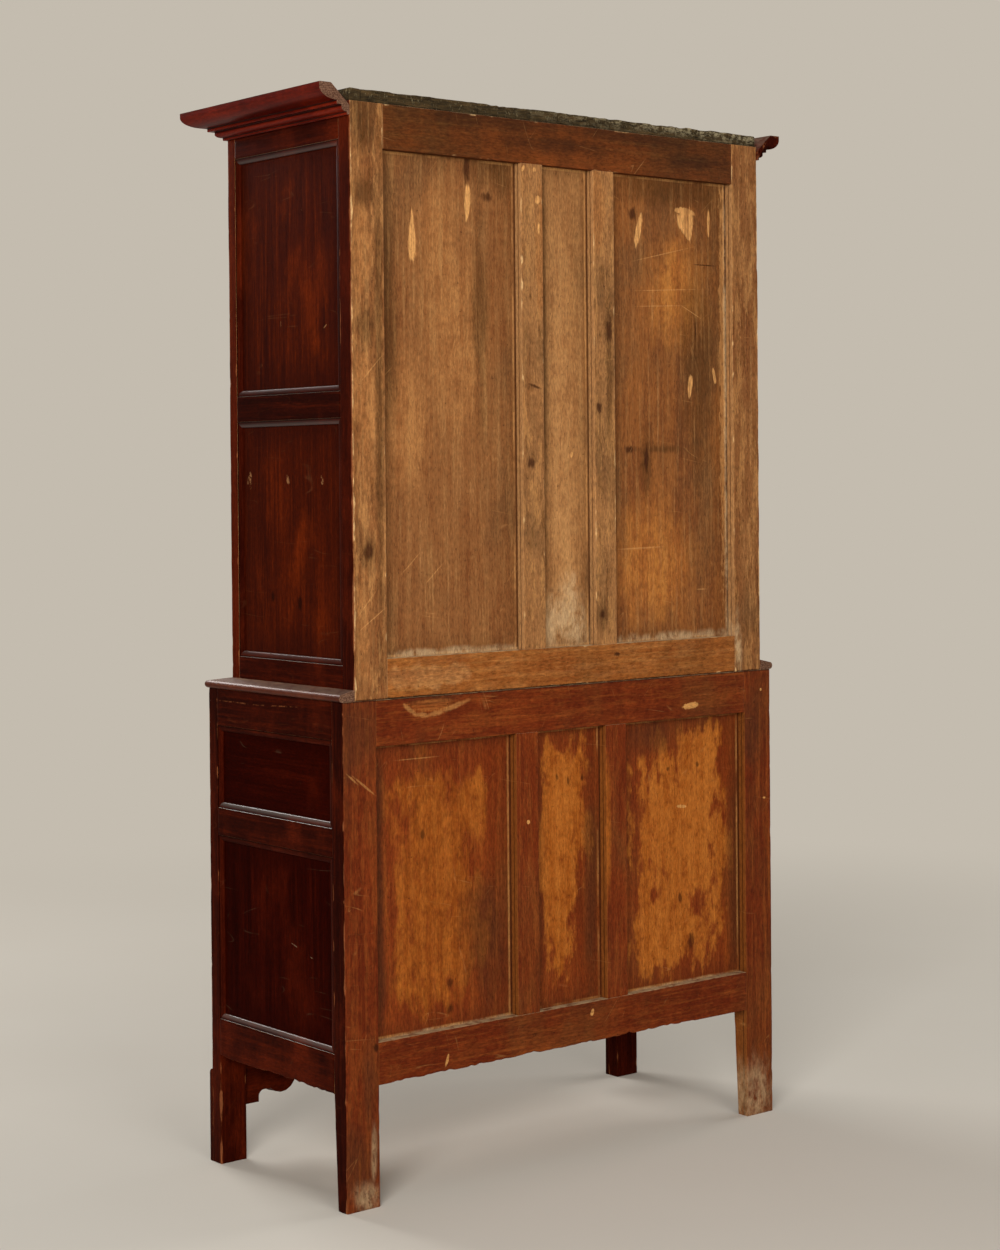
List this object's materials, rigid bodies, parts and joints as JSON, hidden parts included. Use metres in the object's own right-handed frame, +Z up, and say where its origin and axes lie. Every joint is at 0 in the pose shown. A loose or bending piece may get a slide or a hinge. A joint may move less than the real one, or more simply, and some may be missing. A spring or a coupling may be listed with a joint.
{
  "type": "bread and cheese cupboard",
  "caption": "Tall two-part panelled wooden cupboard: hinged doors above, drawers and hinged doors below, sprung cove cornice, rounded waist moulding and shaped bracket feet.",
  "frame": {"origin": "on the floor, in the middle of the box round the whole cupboard", "axes": "+Z up, the doors and drawers face -Y, and the right end as seen from in front is at +X"},
  "size_m": [1.1386, 0.472, 1.9853],
  "materials": {
    "polished": "old dark red-brown polish, glossy, worn pale along the edges",
    "cornice": "red-brown polish, bare end grain at the back",
    "upper_back": "unfinished tan pine, dull and dirty",
    "base_back": "orange-brown stain on pine, worn through in patches",
    "inside": "bare softwood",
    "dusty_top": "rough dark softwood under dust",
    "knob": "turned, glossy dark polish",
    "brass": "dull old brass"
  },
  "bodies": {
    "carcase": {"upper_left_end_frame": "polished", "upper_right_end_frame": "polished", "upper_left_end_panel_upper": "polished", "upper_left_end_panel_lower": "polished", "upper_right_end_panel_upper": "polished", "upper_right_end_panel_lower": "polished", "upper_back_frame": "upper_back", "upper_back_panel_left": "upper_back", "upper_back_panel_middle": "upper_back", "upper_back_panel_right": "upper_back", "frieze_rail": "polished", "upper_bottom_rail": "polished", "upper_floor": "inside", "upper_shelf_1": "inside", "upper_shelf_2": "inside", "top_board": "dusty_top", "cornice_front": "cornice", "cornice_left": "cornice", "cornice_right": "cornice", "waist_moulding": "polished", "base_left_end_frame": "polished", "base_right_end_frame": "polished", "base_left_end_panel_upper": "polished", "base_left_end_panel_lower": "polished", "base_right_end_panel_upper": "polished", "base_right_end_panel_lower": "polished", "base_back_frame": "base_back", "base_back_panel_left": "base_back", "base_back_panel_middle": "base_back", "base_back_panel_right": "base_back", "base_front_frame": "polished", "base_bottom_rail": "polished", "base_floor": "inside", "drawer_bed": "inside", "bracket_foot_left": "polished", "bracket_foot_right": "polished", "upper_left_door_hinge_bottom": "brass", "upper_left_door_hinge_top": "brass", "upper_right_door_hinge_bottom": "brass", "upper_right_door_hinge_top": "brass", "lower_left_door_hinge_bottom": "brass", "lower_left_door_hinge_top": "brass", "lower_right_door_hinge_bottom": "brass", "lower_right_door_hinge_top": "brass"},
    "upper_left_door": {"upper_left_door_frame": "polished", "upper_left_door_panel_upper": "polished", "upper_left_door_panel_lower": "polished"},
    "upper_right_door": {"upper_right_door_frame": "polished", "upper_right_door_panel_upper": "polished", "upper_right_door_panel_lower": "polished", "upper_door_knob": "knob"},
    "lower_left_door": {"lower_left_door_frame": "polished", "lower_left_door_panel": "polished"},
    "lower_right_door": {"lower_right_door_frame": "polished", "lower_right_door_panel": "polished", "lower_door_knob": "knob"},
    "left_drawer": {"left_drawer": "polished", "left_drawer_knob": "knob"},
    "right_drawer": {"right_drawer": "polished", "right_drawer_knob": "knob"}
  },
  "joints": [
    {"name": "upper_left_door_swing", "type": "hinge", "parent": "carcase", "child": "upper_left_door", "pos_m": [-0.4469, -0.1645, 1.4278], "axis": [0, 0, -1], "range_deg": [0, 150]},
    {"name": "upper_right_door_swing", "type": "hinge", "parent": "carcase", "child": "upper_right_door", "pos_m": [0.4469, -0.1645, 1.4278], "axis": [0, 0, 1], "range_deg": [0, 150]},
    {"name": "lower_left_door_swing", "type": "hinge", "parent": "carcase", "child": "lower_left_door", "pos_m": [-0.4729, -0.2065, 0.4635], "axis": [0, 0, -1], "range_deg": [0, 150]},
    {"name": "lower_right_door_swing", "type": "hinge", "parent": "carcase", "child": "lower_right_door", "pos_m": [0.4729, -0.2065, 0.4635], "axis": [0, 0, 1], "range_deg": [0, 150]},
    {"name": "left_drawer_slide", "type": "slide", "parent": "carcase", "child": "left_drawer", "axis": [0, -1, 0], "range_m": [0, 0.28]},
    {"name": "right_drawer_slide", "type": "slide", "parent": "carcase", "child": "right_drawer", "axis": [0, -1, 0], "range_m": [0, 0.28]}
  ]
}
